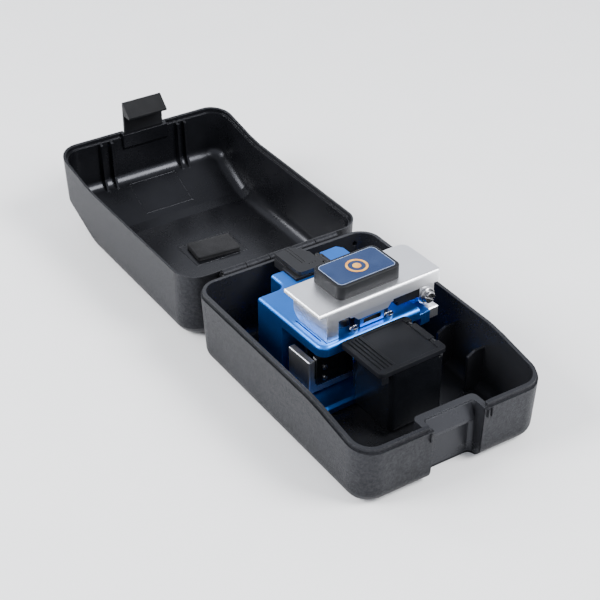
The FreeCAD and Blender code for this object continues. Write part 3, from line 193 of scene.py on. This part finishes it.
# ------------------------------------------------------------ case plastic
def case_plastic(name, cx, cy, hx, hy, r, z_ref, slope, inner_shade_dark, inner_shade_lite, fall_y, fall):
    """Black moulded plastic: satin spark-eroded texture outside; smoother inside, where the colour is darkened as
    painted shade of the hollow.
    """
    m = Mat(name, (0.014, 0.0145, 0.016), 0.0, 0.4)
    x, y, z = m.xyz()
    zz = m.math("SUBTRACT", z, z_ref)
    grow = m.math("MULTIPLY", zz, slope)
    sd = m.round_rect(cx, cy, hx, hy, r, grow)
    outside = m.fit(sd, -0.0001, 0.0001, 0.0, 1.0)
    under = m.math("MULTIPLY", m.math("MAXIMUM", m.math("SUBTRACT", y, fall_y), 0.0), fall)
    low = m.fit(m.math("SUBTRACT", z, under), 0.0009, 0.0013, 1.0, 0.0)
    outside = m.math("MAXIMUM", outside, low)
    grain = m.noise(3600.0, 2.0, 0.7)
    spark = m.cells(2300.0)
    mott = m.noise(900.0, 3.0, 0.8)
    cloud = m.noise(26.0, 4.0, 0.6)
    scuff = m.noise(1.0, 4.0, 0.65, vec=m.stretch((160.0, 55.0, 420.0), (0.3, 0.2, 0.5)), distort=0.6)
    scuff_m = m.math("MULTIPLY", m.fit(scuff, 0.62, 0.74, 0.0, 1.0), m.fit(cloud, 0.42, 0.62, 0.0, 1.0))
    bn = m.bevel(0.00025)
    edge = m.edge_mask(bn, 0.03, 0.3)
    edge = m.math("MULTIPLY", edge, m.fit(m.noise(420.0, 3.0), 0.4, 0.62, 0.25, 1.0))
    dusty = m.math("MULTIPLY", m.fit(cloud, 0.38, 0.72, 0.0, 1.0), 0.55)
    c_out = m.mix(m.math("ADD", m.math("MULTIPLY", dusty, 0.6), m.fit(mott, 0.48, 0.68, 0.0, 0.55), clamp=True), (0.0042, 0.0044, 0.0054), (0.0200, 0.0205, 0.0236))
    c_out = m.mix(m.math("MULTIPLY", scuff_m, 0.30), c_out, (0.040, 0.040, 0.043))
    # inside colour: painted shade, the hollow of the case darkened (the lid's inside darkest)
    inner_colour_painted_shade = m.mix(m.fit(cloud, 0.35, 0.7, 0.0, 1.0), inner_shade_dark, inner_shade_lite)
    c = m.mix(outside, inner_colour_painted_shade, c_out)
    c = m.mix(m.math("MULTIPLY", m.math("MULTIPLY", edge, outside), 0.4), c, (0.045, 0.046, 0.050))
    m.colour(c)
    mott2 = m.noise(620.0, 4.0, 0.8)
    # painted shade: outside specular lowered towards the bottom, darkening the lower walls, with random mottling on
    # top
    spec_out_bottom_shade = m.math("MULTIPLY", m.fit(z, 0.0, 0.016, 0.14, 0.245), m.fit(mott2, 0.34, 0.68, 0.62, 1.38))
    m.put(m.b.inputs["Specular IOR Level"], m.mixf(outside, 0.32, spec_out_bottom_shade))
    m.b.inputs["Specular Tint"].default_value = (0.88, 0.90, 1.0, 1.0)
    r_out = m.math("ADD", m.fit(grain, 0.3, 0.7, 0.36, 0.50), m.math("MULTIPLY", dusty, 0.10))
    r_in = m.math("ADD", m.fit(cloud, 0.35, 0.7, 0.19, 0.31), m.math("MULTIPLY", m.noise(700.0, 2.0), 0.08))
    m.rough(m.mixf(outside, r_in, r_out))
    tex = m.math("ADD", m.math("ADD", m.math("MULTIPLY", grain, 0.6), m.math("MULTIPLY", spark, 0.5)), m.math("MULTIPLY", mott, 1.3))
    flow = m.noise(34.0, 2.0, 0.5)
    h = m.math("ADD", m.math("MULTIPLY", tex, m.fit(outside, 0.0, 1.0, 0.012, 1.0)), m.math("MULTIPLY", flow, m.fit(outside, 0.0, 1.0, 0.5, 1.3)))
    m.normal(m.bump(h, 0.000085, 0.9, bn))
    return m


# the two colour tuples are the inside colours, darkened as painted shade of the hollow
base_mat = case_plastic("case_black_base", 0.0, 0.0, 0.0487, 0.0684, 0.0102, 0.0352, 0.0426, (0.0100, 0.0105, 0.0122), (0.0150, 0.0156, 0.0180), 1.0, 0.0)
lid_mat = case_plastic("case_black_lid", 0.0, 0.14465, 0.0499, 0.0700, 0.0108, 0.0352, 0.0376, (0.0032, 0.0034, 0.0043), (0.0066, 0.0069, 0.0084), 0.1801, 0.4454)
dress(base_mat, "case_base")
dress(lid_mat, "case_lid")


def latch_plastic():
    m = Mat("latch_black", (0.012, 0.0125, 0.0135), 0.0, 0.42)
    grain = m.noise(3400.0, 2.0, 0.7)
    cloud = m.noise(60.0, 3.0)
    bn = m.bevel(0.0004)
    edge = m.edge_mask(bn, 0.03, 0.3)
    c = m.mix(m.fit(cloud, 0.35, 0.7, 0.0, 1.0), (0.0050, 0.0052, 0.0060), (0.0105, 0.0108, 0.0122))
    m.colour(m.mix(m.math("MULTIPLY", edge, 0.5), c, (0.075, 0.076, 0.08)))
    m.rough(m.fit(grain, 0.3, 0.7, 0.42, 0.56))
    m.b.inputs["Specular IOR Level"].default_value = 0.10
    m.normal(m.bump(grain, 0.00004, 0.8, bn))
    return m


dress(latch_plastic(), "lid_latch")


# ------------------------------------------------------------ metals
def blasted(name, col, rough, grain=5200.0, depth=0.000012, vary=0.06, wear=(0.8, 0.82, 0.86), wear_amt=0.35, bevel=0.0003, metallic=1.0, spec=None):
    """Blasted and anodised aluminium: fine pitted grain, slight tone drift, lighter edges, partly wear and partly
    painted highlight.
    """
    m = Mat(name, col, metallic, rough)
    g = m.noise(grain, 3.0, 0.65)
    pits = m.cells(grain * 0.62)
    cloud = m.noise(48.0, 3.0, 0.55)
    bn = m.bevel(bevel)
    edge = m.math("MULTIPLY", m.edge_mask(bn, 0.03, 0.32), m.fit(m.noise(380.0, 3.0), 0.36, 0.62, 0.3, 1.0))
    dark = tuple(v * (1 - vary * 1.4) for v in col)
    lite = tuple(min(1.0, v * (1 + vary)) for v in col)
    c = m.mix(m.fit(cloud, 0.3, 0.7, 0.0, 1.0), dark, lite)
    c = m.mix(m.math("MULTIPLY", m.fit(pits, 0.0, 0.5, 1.0, 0.0), 0.10), c, tuple(v * 0.55 for v in col))
    # edges lightened towards the wear colour: partly wear, partly painted highlight
    c = m.mix(m.math("MULTIPLY", edge, wear_amt), c, wear)
    m.colour(c)
    m.rough(m.math("ADD", m.fit(g, 0.3, 0.7, rough - 0.05, rough + 0.06), m.math("MULTIPLY", cloud, 0.05)))
    m.normal(m.bump(m.math("ADD", g, m.math("MULTIPLY", pits, 0.6)), depth, 0.9, bn))
    if spec is not None:
        m.b.inputs["Specular IOR Level"].default_value = spec
    return m


# the wear colours lighten edges: partly wear, partly painted highlight
blue = blasted("blue_anodised", (0.034, 0.205, 0.720), 0.36, wear=(0.30, 0.58, 0.95), wear_amt=0.5)
silver = blasted("silver_anodised", (0.91, 0.92, 0.95), 0.33, depth=0.000032, vary=0.03, wear=(0.97, 0.975, 0.99), wear_amt=0.5)
black_an = blasted("black_anodised", (0.0080, 0.0084, 0.0100), 0.32, vary=0.12, wear=(0.12, 0.12, 0.13), wear_amt=0.35, metallic=0.35)
holder_black = blasted("holder_black", (0.0085, 0.0090, 0.0108), 0.46, grain=4200.0, depth=0.000022, vary=0.14, wear=(0.08, 0.08, 0.09), wear_amt=0.3, metallic=0.0, spec=0.30)
dress(blue, "cleaver_body", "base_plate")
dress(silver, "top_arm", "clamp_block_rear", "end_block")


def clamp_metal():
    """Silver, with the part below the step tinted blue as a painted reflection of the deck, and painted shade inside
    the window.
    """
    m = Mat("clamp_silver_blue_reflection_window_shade", (0.80, 0.81, 0.835), 1.0, 0.36)
    x, y, z = m.xyz()
    yaw = math.radians(2.2)
    yy = m.math("SUBTRACT", y, 0.020)
    lx = m.math("ADD", m.math("MULTIPLY", x, math.cos(yaw)), m.math("MULTIPLY", yy, math.sin(yaw)))
    ly = m.math("SUBTRACT", m.math("MULTIPLY", yy, math.cos(yaw)), m.math("MULTIPLY", x, math.sin(yaw)))
    g = m.noise(5200.0, 3.0, 0.65)
    cloud = m.noise(48.0, 3.0, 0.55)
    bn = m.bevel(0.0003)
    low = m.fit(z, 0.04555, 0.04575, 1.0, 0.0)
    # mask of the window's inside, which is painted dark as shade
    inx = m.fit(m.math("ABSOLUTE", m.math("ADD", lx, 0.00015)), 0.00488, 0.00496, 1.0, 0.0)
    inz = m.fit(m.math("ABSOLUTE", m.math("SUBTRACT", z, 0.04345)), 0.00128, 0.00134, 1.0, 0.0)
    deep = m.fit(ly, -0.02440, -0.02425, 0.0, 1.0)
    window_painted_shade = m.math("MULTIPLY", m.math("MULTIPLY", inx, inz), deep)
    c = m.mix(m.fit(cloud, 0.3, 0.7, 0.0, 1.0), (0.77, 0.78, 0.805), (0.82, 0.83, 0.855))
    # painted reflection: the silver below the step tinted blue, as the deck under it would mirror
    c = m.mix(low, c, m.mix(m.fit(cloud, 0.3, 0.7, 0.0, 1.0), (0.110, 0.300, 0.640), (0.135, 0.340, 0.700)))
    # painted shade: near-black, non-metal inside the window
    c = m.mix(window_painted_shade, c, (0.006, 0.007, 0.009))
    m.colour(c)
    m.put(m.b.inputs["Metallic"], m.math("SUBTRACT", 1.0, window_painted_shade))
    m.rough(m.fit(g, 0.3, 0.7, 0.30, 0.42))
    m.normal(m.bump(g, 0.000018, 0.9, bn))
    return m


dress(clamp_metal(), "clamp_block")
dress(black_an, "bin_bracket", "arm_stiffener", "jaw_guides")
dress(holder_black, "fiber_holder", "holder_clip")


def machined(name, col, rough, scale, depth=0.000006, vary=0.05, bevel=0.00025):
    """Milled and polished metal: long fine lines, faint smears, edges painted near white as a painted highlight."""
    m = Mat(name, col, 1.0, rough)
    lines = m.noise(1.0, 4.0, 0.7, vec=m.stretch(scale))
    smear = m.noise(90.0, 3.0, 0.6, distort=0.4)
    bn = m.bevel(bevel)
    edge = m.edge_mask(bn, 0.03, 0.3)
    c = m.mix(m.fit(lines, 0.3, 0.7, 0.0, 1.0), tuple(v * (1 - vary) for v in col), tuple(min(1, v * (1 + vary)) for v in col))
    c = m.mix(m.math("MULTIPLY", m.fit(smear, 0.5, 0.75, 0.0, 1.0), 0.12), c, tuple(v * 0.7 for v in col))
    # painted highlight: edges mixed towards near white
    m.colour(m.mix(m.math("MULTIPLY", edge, 0.5), c, (0.97, 0.97, 0.98)))
    m.rough(m.math("ADD", m.fit(lines, 0.3, 0.7, rough * 0.75, rough * 1.25), m.math("MULTIPLY", m.fit(smear, 0.5, 0.75, 0.0, 1.0), 0.10)))
    m.normal(m.bump(lines, depth, 0.8, bn))
    return m


dress(machined("polished_aluminium", (0.80, 0.81, 0.84), 0.40, (700.0, 60.0, 9000.0)), "blade_carriage")
steel = machined("turned_steel", (0.40, 0.40, 0.412), 0.24, (2600.0, 900.0, 2600.0), vary=0.08)
dress(steel, "hinge_pin", "base_screws", "arm_magnet", "clamp_screws", "linear_rail", "rail_screws", "rail_block",
      "blade_holder_screws", "blade_hub", "blade_axle", "arm_pivot_screw", "pivot_washer", "pivot_nut", "anvil",
      "anvil_spring", "bin_hinge_pin", "clip_pin")
dress(machined("ground_carbide", (0.68, 0.69, 0.71), 0.10, (5200.0, 300.0, 5200.0), vary=0.04), "blade_wheel")


# ------------------------------------------------------------ plastics, rubber
def moulded(name, col, rough, grain=3000.0, depth=0.00003, vary=0.25, wear=(0.09, 0.09, 0.10), wear_amt=0.45, bevel=0.0003, coat=0.0, spec=0.5):
    m = Mat(name, col, 0.0, rough)
    m.b.inputs["Specular IOR Level"].default_value = spec
    g = m.noise(grain, 2.0, 0.7)
    sp = m.cells(grain * 0.6)
    cloud = m.noise(70.0, 3.0, 0.6)
    bn = m.bevel(bevel)
    edge = m.math("MULTIPLY", m.edge_mask(bn, 0.03, 0.32), m.fit(m.noise(500.0, 3.0), 0.36, 0.62, 0.35, 1.0))
    c = m.mix(m.fit(cloud, 0.3, 0.7, 0.0, 1.0), tuple(v * (1 - vary) for v in col), tuple(v * (1 + vary) for v in col))
    m.colour(m.mix(m.math("MULTIPLY", edge, wear_amt), c, wear))
    m.rough(m.math("ADD", m.fit(g, 0.3, 0.7, rough - 0.06, rough + 0.06), m.math("MULTIPLY", cloud, 0.06)))
    m.normal(m.bump(m.math("ADD", g, m.math("MULTIPLY", sp, 0.6)), depth, 0.8, bn))
    if coat:
        m.b.inputs["Coat Weight"].default_value = coat
    return m


dress(moulded("bin_lid_satin", (0.0060, 0.0065, 0.0082), 0.46, spec=0.07, wear=(0.05, 0.051, 0.055), wear_amt=0.4), "scrap_bin_lid")
dress(moulded("bin_gloss", (0.0042, 0.0047, 0.0060), 0.16, spec=0.22, grain=1500.0, depth=0.000006, wear=(0.03, 0.031, 0.034), wear_amt=0.4), "scrap_bin")
dress(moulded("blade_holder_black", (0.0075, 0.0079, 0.0090), 0.17, depth=0.00001, wear=(0.06, 0.06, 0.065), wear_amt=0.4), "blade_holder")
dress(moulded("pad_rubber", (0.0085, 0.0089, 0.0104), 0.48, spec=0.16, grain=2600.0, wear=(0.085, 0.088, 0.095), wear_amt=0.4, bevel=0.0005), "arm_pad")
dress(moulded("nitrile", (0.020, 0.020, 0.021), 0.62, grain=2400.0), "cleaver_feet", "clamp_pads_lower", "clamp_pads_upper")


def label_film():
    m = Mat("label_film", (0.075, 0.115, 0.225), 0.0, 0.22)
    fleck = m.noise(5200.0, 2.0, 0.6)
    cloud = m.noise(80.0, 3.0)
    c = m.mix(m.fit(cloud, 0.3, 0.7, 0.0, 1.0), (0.017, 0.033, 0.090), (0.026, 0.047, 0.115))
    m.colour(m.mix(m.math("MULTIPLY", m.fit(fleck, 0.55, 0.75, 0.0, 1.0), 0.25), c, (0.050, 0.078, 0.160)))
    m.rough(m.fit(fleck, 0.3, 0.7, 0.20, 0.32))
    m.b.inputs["Specular IOR Level"].default_value = 0.09
    m.normal(m.bump(fleck, 0.000008, 0.6))
    return m


def gold_print():
    m = Mat("gold_print", (0.80, 0.42, 0.08), 0.25, 0.34)
    fleck = m.noise(6400.0, 2.0, 0.6)
    grad = m.noise(260.0, 2.0)
    m.colour(m.mix(m.fit(grad, 0.35, 0.65, 0.0, 1.0), (0.78, 0.30, 0.040), (0.86, 0.52, 0.10)))
    m.rough(m.fit(fleck, 0.3, 0.7, 0.26, 0.42))
    m.normal(m.bump(fleck, 0.000008, 0.6))
    return m


dress(label_film(), "pad_label")
gold = gold_print()
dress(gold, "pad_emblem")


# ------------------------------------------------------------ mesh helpers
def obj_from_bm(name, bm, mat, smooth=True):
    me = bpy.data.meshes.new(name)
    bm.normal_update()
    bm.to_mesh(me)
    bm.free()
    o = bpy.data.objects.new(name, me)
    bpy.context.scene.collection.objects.link(o)
    me.materials.append(mat.m)
    for p in me.polygons:
        p.use_smooth = smooth
    return o


YAW = math.radians(2.2)
CAT = Vector((0.0, 0.020, 0.0))


def cl(x, y, z):
    """Cleaver-local millimetres to the row frame in metres."""
    c, s = math.cos(YAW), math.sin(YAW)
    return Vector((x * c - y * s, x * s + y * c, z)) * MM + CAT


# ------------------------------------------------------------ foam pad
def foam_material():
    m = Mat("closed_cell_foam", (0.014, 0.014, 0.0145), 0.0, 0.86)
    cell = m.cells(1500.0)
    fine = m.noise(4200.0, 3.0, 0.7)
    cloud = m.noise(110.0, 3.0, 0.6)
    c = m.mix(m.fit(cloud, 0.3, 0.7, 0.0, 1.0), (0.0088, 0.0090, 0.0104), (0.0182, 0.0184, 0.0206))
    m.colour(m.mix(m.math("MULTIPLY", m.fit(cell, 0.0, 0.35, 1.0, 0.0), 0.55), c, (0.006, 0.006, 0.006)))
    m.rough(m.fit(fine, 0.3, 0.7, 0.78, 0.94))
    m.b.inputs["Sheen Weight"].default_value = 0.05
    m.b.inputs["Specular IOR Level"].default_value = 0.15
    m.b.inputs["Sheen Roughness"].default_value = 0.6
    m.normal(m.bump(m.math("ADD", cell, m.math("MULTIPLY", fine, 0.5)), 0.00016, 0.9))
    return m


def foam_pad():
    lo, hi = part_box("lid_foam_pad")
    lo, hi = Vector(lo), Vector(hi)
    cx, cy = (lo.x + hi.x) / 2, (lo.y + hi.y) / 2
    hx, hy = (hi.x - lo.x) / 2, (hi.y - lo.y) / 2
    h = hi.z - lo.z
    nx, ny, nz = 34, 26, 8
    bm = bmesh.new()
    shell = {}

    turn = math.radians(-5.7)
    ct, st = math.cos(turn), math.sin(turn)
    # half sizes of the turned block from those of its upright box
    det = ct * ct - st * st
    hx, hy = (hx * ct + hy * st) / det, (hy * ct + hx * st) / det

    def vert(i, j, k):
        key = (i, j, k)
        if key in shell:
            return shell[key]
        u, v, w = 2 * i / nx - 1, 2 * j / ny - 1, k / nz
        # rounded plan corners, cut sides that pull in a little at mid height, crowned top
        su = math.copysign(abs(u) ** 0.94, u)
        sv = math.copysign(abs(v) ** 0.94, v)
        p = Vector((su * hx, sv * hy, 0))
        r = 0.0011
        ex, ey = abs(p.x) - (hx - r), abs(p.y) - (hy - r)
        if ex > 0 and ey > 0:
            d = math.hypot(ex, ey)
            if d > r:
                p.x = math.copysign(hx - r + ex / d * r, p.x)
                p.y = math.copysign(hy - r + ey / d * r, p.y)
        side = max(abs(u), abs(v))
        pinch = 0.00022 * math.sin(math.pi * w) * max(0.0, (side - 0.8) / 0.2)
        p.x -= math.copysign(pinch, u) if abs(u) > 0.8 else 0
        p.y -= math.copysign(pinch, v) if abs(v) > 0.8 else 0
        top = 1 - 0.10 * max(0.0, (side - 0.78) / 0.22) ** 2.2 if w > 0.8 else 1.0
        sag = 0.00025 * noise.noise(Vector((p.x * 160, p.y * 160, 3.1)))
        z = h * w * (0.955 + 0.045 * (1 - side ** 3)) * top + sag * w
        ragged = 0.00012 * noise.noise(Vector((p.x * 900, p.y * 900, w * 6)))
        if side > 0.97:
            p.x += ragged * (1 if abs(u) > 0.97 else 0)
            p.y += ragged * (1 if abs(v) > 0.97 else 0)
        shell[key] = bm.verts.new((cx + p.x * ct - p.y * st, cy + p.x * st + p.y * ct, lo.z + min(z, h)))
        return shell[key]

    def face(a, b, c, d):
        bm.faces.new((vert(*a), vert(*b), vert(*c), vert(*d)))

    for i in range(nx):
        for j in range(ny):
            face((i, j, nz), (i + 1, j, nz), (i + 1, j + 1, nz), (i, j + 1, nz))
            face((i, j + 1, 0), (i + 1, j + 1, 0), (i + 1, j, 0), (i, j, 0))
    for k in range(nz):
        for i in range(nx):
            face((i, 0, k), (i + 1, 0, k), (i + 1, 0, k + 1), (i, 0, k + 1))
            face((i + 1, ny, k), (i, ny, k), (i, ny, k + 1), (i + 1, ny, k + 1))
        for j in range(ny):
            face((0, j + 1, k), (0, j, k), (0, j, k + 1), (0, j + 1, k + 1))
            face((nx, j, k), (nx, j + 1, k), (nx, j + 1, k + 1), (nx, j, k + 1))
    bmesh.ops.recalc_face_normals(bm, faces=bm.faces)
    o = obj_from_bm("foam_pad_soft", bm, foam_material())
    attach(o, "case_lid")
    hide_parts("lid_foam_pad")
    return o


foam_pad()


# ------------------------------------------------------------ label edge line
def rounded_loop(x0, x1, y0, y1, r, n=8):
    pts = []
    for cx, cy, a0 in ((x1 - r, y0 + r, -90), (x1 - r, y1 - r, 0), (x0 + r, y1 - r, 90), (x0 + r, y0 + r, 180)):
        for i in range(n + 1):
            a = math.radians(a0 + 90 * i / n)
            pts.append((cx + r * math.cos(a), cy + r * math.sin(a)))
    return pts


def ribbon(name, outer, inner, z0, z1, mat, body):
    """A thin raised line between two closed loops of the same length."""
    bm = bmesh.new()
    n = len(outer)
    rings = []
    for pts, z in ((outer, z0), (outer, z1), (inner, z1), (inner, z0)):
        rings.append([bm.verts.new(cl(p[0], p[1], z)) for p in pts])
    for a in range(4):
        ra, rb = rings[a], rings[(a + 1) % 4]
        for i in range(n):
            bm.faces.new((ra[i], ra[(i + 1) % n], rb[(i + 1) % n], rb[i]))
    bmesh.ops.recalc_face_normals(bm, faces=bm.faces)
    o = obj_from_bm(name, bm, mat, smooth=False)
    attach(o, body)
    return o


def edge_painted_highlight():
    # painted highlight: a light blue line along the label's edge
    m = Mat("label_edge_painted_highlight", (0.42, 0.52, 0.72), 0.0, 0.30)
    f = m.noise(4200.0, 2.0)
    m.colour(m.mix(m.fit(f, 0.3, 0.7, 0.0, 1.0), (0.30, 0.40, 0.62), (0.55, 0.64, 0.82)))
    m.rough(m.fit(f, 0.3, 0.7, 0.22, 0.38))
    m.normal(m.bump(f, 0.000008, 0.6))
    return m


PX0, PX1, PY0, PY1 = -14.3, 17.1, -19.4, -1.1
# thin raised ribbon that carries the painted highlight along the label's edge
ribbon("label_edge_line", rounded_loop(PX0 + 0.08, PX1 - 0.08, PY0 + 0.08, PY1 - 0.08, 2.42), rounded_loop(PX0 + 0.24, PX1 - 0.24, PY0 + 0.24, PY1 - 0.24, 2.26), 62.835, 62.875, edge_painted_highlight(), "arm")


# ------------------------------------------------------------ stage
def floor():
    me = bpy.data.meshes.new("studio_floor")
    s = 3.0
    me.from_pydata([(-s, -s, -0.0003), (s, -s, -0.0003), (s, s, -0.0003), (-s, s, -0.0003)], [], [(0, 1, 2, 3)])
    o = bpy.data.objects.new("studio_floor", me)
    bpy.context.scene.collection.objects.link(o)
    m = Mat("floor_pale", (0.93, 0.93, 0.93), 0.0, 0.6)
    f = m.noise(30.0, 3.0)
    m.colour(m.mix(m.fit(f, 0.3, 0.7, 0.0, 1.0), (0.925, 0.927, 0.930), (0.938, 0.938, 0.940)))
    m.rough(m.fit(f, 0.3, 0.7, 0.62, 0.72))
    me.materials.append(m.m)


floor()

world = bpy.data.worlds.new("studio")
bpy.context.scene.world = world
world.use_nodes = True
wt = world.node_tree
bg = wt.nodes["Background"]
bg.inputs["Color"].default_value = (0.905, 0.932, 1.0, 1.0)
wco = wt.nodes.new("ShaderNodeTexCoord")
wsep = wt.nodes.new("ShaderNodeSeparateXYZ")
wt.links.new(wco.outputs["Generated"], wsep.inputs[0])
wmap = wt.nodes.new("ShaderNodeMapRange")
wmap.interpolation_type = "SMOOTHSTEP"
wmap.inputs["From Min"].default_value = 0.60
wmap.inputs["From Max"].default_value = 0.88
wmap.inputs["To Min"].default_value = 1.50
wmap.inputs["To Max"].default_value = 0.70
wt.links.new(wsep.outputs[2], wmap.inputs["Value"])
wt.links.new(wmap.outputs["Result"], bg.inputs["Strength"])


def softbox(name, direction, dist, size, power, colour=(1, 1, 1), target=(0, 0.06, 0.02), size_y=None):
    d = Vector(direction).normalized()
    li = bpy.data.lights.new(name, "AREA")
    li.shape = "RECTANGLE"
    li.size = size
    li.size_y = size_y or size
    li.energy = power
    li.color = colour
    o = bpy.data.objects.new(name, li)
    o.location = Vector(target) + d * dist
    o.rotation_mode = "QUATERNION"
    o.rotation_quaternion = (-d).to_track_quat("-Z", "Y")
    bpy.context.scene.collection.objects.link(o)


softbox("box_left", (-0.80, 0.19, 0.57), 1.3, 0.60, 21.0)
softbox("box_back_left", (-0.55, 0.70, 0.44), 1.3, 0.30, 5.5)
softbox("box_front_right", (0.45, -0.56, 0.70), 1.4, 0.60, 27.0)

cam_data = bpy.data.cameras.new("camera")
cam_data.sensor_width = 36.0
cam_data.lens = 90.0
cam_data.clip_start = 0.01
cam_data.clip_end = 20.0
cam = bpy.data.objects.new("camera", cam_data)
bpy.context.scene.collection.objects.link(cam)
az, el, dist = math.radians(-32.8), math.radians(34.19), 0.71949
target = Vector((0.0, 0.05355, 0.02006))
back = Vector((math.sin(az) * math.cos(el), -math.cos(az) * math.cos(el), math.sin(el)))
cam.location = target + back * dist
cam.rotation_mode = "QUATERNION"
cam.rotation_quaternion = (-back).to_track_quat("-Z", "Y")
bpy.context.scene.camera = cam
